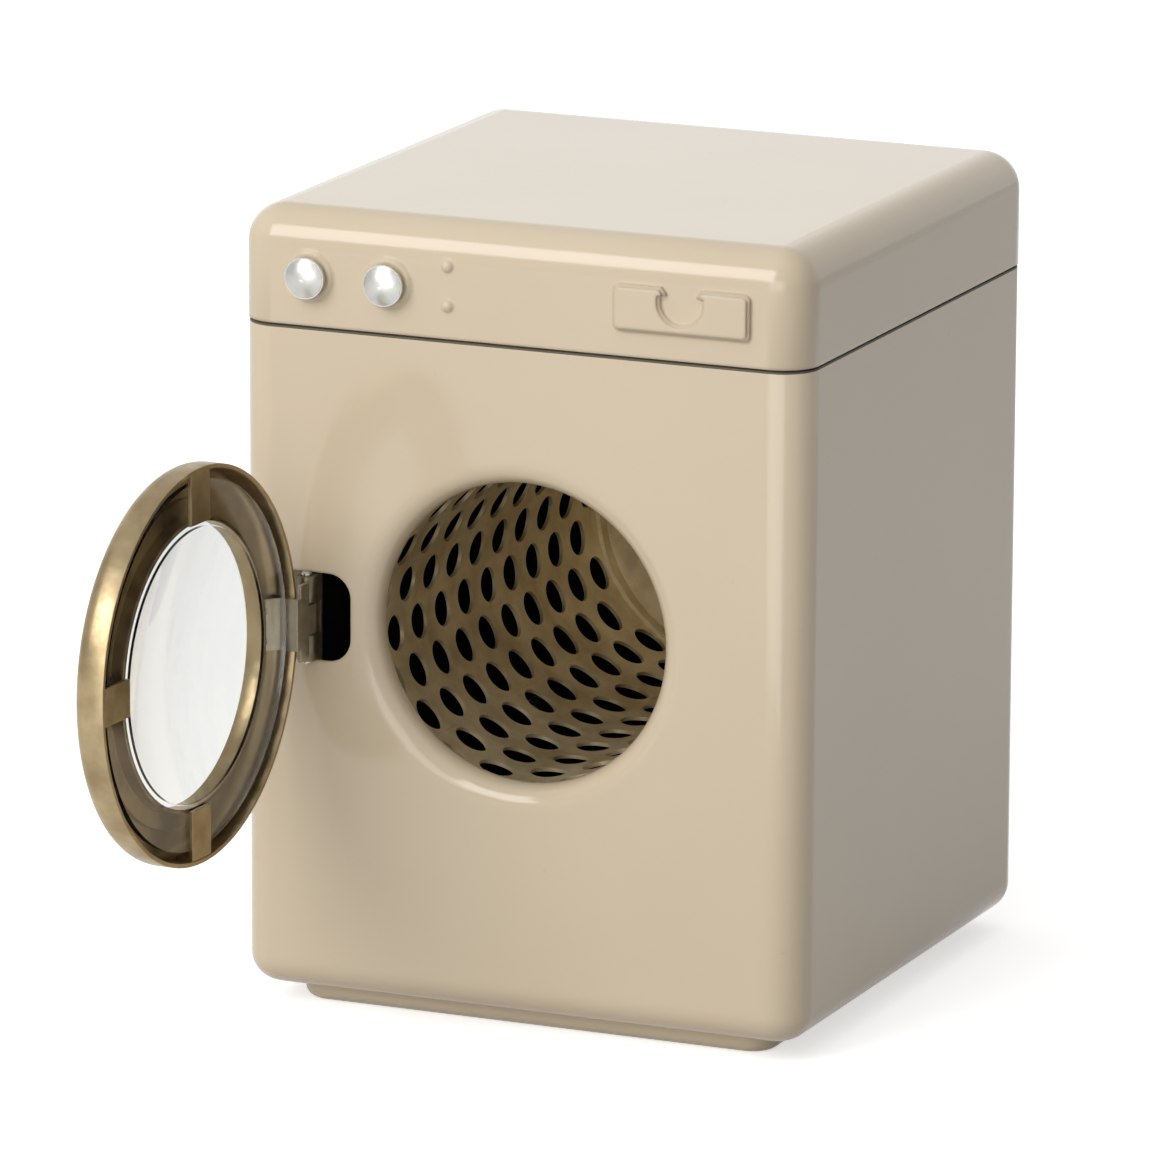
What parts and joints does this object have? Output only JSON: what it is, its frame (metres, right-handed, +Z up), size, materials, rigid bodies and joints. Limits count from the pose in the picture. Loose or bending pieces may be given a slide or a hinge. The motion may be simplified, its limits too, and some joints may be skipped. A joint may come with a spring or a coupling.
{
  "type": "toy washing machine",
  "caption": "Small tinplate front-loading toy washing machine with a hinged round window door, a turning perforated drum and turning control knobs.",
  "frame": {"origin": "centre of the plinth's flat resting face, under the middle of the cabinet", "axes": "+Z up, -Y out of the front with the door, +X to the right when facing the front"},
  "size_m": [0.0802, 0.1407, 0.108],
  "materials": {
    "cream_enamel": "glossy cream stove enamel on tinplate",
    "door_gilt": "satin antique gold, brushed round the ring",
    "drum_bronze": "dull bronze lacquer on perforated sheet",
    "clear_window": "clear moulded plastic",
    "knob_chrome": "bright plated",
    "bright_steel": "bright zinc plated",
    "plated_steel": "dull grey-green plated",
    "bush_brass": "turned brass"
  },
  "bodies": {
    "cabinet": {"cabinet_shell": "cream_enamel", "top_cover": "cream_enamel", "base_plinth": "cream_enamel", "base_rivets": "bright_steel", "back_panel": "cream_enamel", "back_panel_screws": "bright_steel", "bearing_bush": "bush_brass", "hinge_bracket": "plated_steel"},
    "door": {"door_frame": "door_gilt", "door_window": "clear_window", "window_clip_top": "door_gilt", "window_clip_bottom": "door_gilt", "window_clip_side": "door_gilt", "hinge_leaf": "door_gilt", "hinge_leaf_rivets": "bright_steel", "hinge_pin": "bright_steel"},
    "drum": {"drum_shell": "drum_bronze", "drum_back_disc": "drum_bronze", "drum_hub": "plated_steel", "drum_axle": "bright_steel", "thrust_washer": "bright_steel", "axle_push_nut": "bright_steel"},
    "programme_control": {"programme_knob": "knob_chrome", "programme_spindle": "plated_steel", "programme_push_nut": "bright_steel"},
    "temperature_control": {"temperature_knob": "knob_chrome", "temperature_spindle": "plated_steel", "temperature_push_nut": "bright_steel"}
  },
  "joints": [
    {"name": "door_hinge", "type": "hinge", "parent": "cabinet", "child": "door", "pos_m": [-0.0296, -0.041, 0.0539], "axis": [0, 0, -1], "range_deg": [-93, 27]},
    {"name": "drum_spin", "type": "hinge", "parent": "cabinet", "child": "drum", "pos_m": [0, 0, 0.0539], "axis": [0, -1, 0], "continuous": true},
    {"name": "programme_turn", "type": "hinge", "parent": "cabinet", "child": "programme_control", "pos_m": [-0.0295, -0.0405, 0.0994], "axis": [0, -1, 0], "continuous": true},
    {"name": "temperature_turn", "type": "hinge", "parent": "cabinet", "child": "temperature_control", "pos_m": [-0.0183, -0.0405, 0.0994], "axis": [0, -1, 0], "continuous": true}
  ]
}
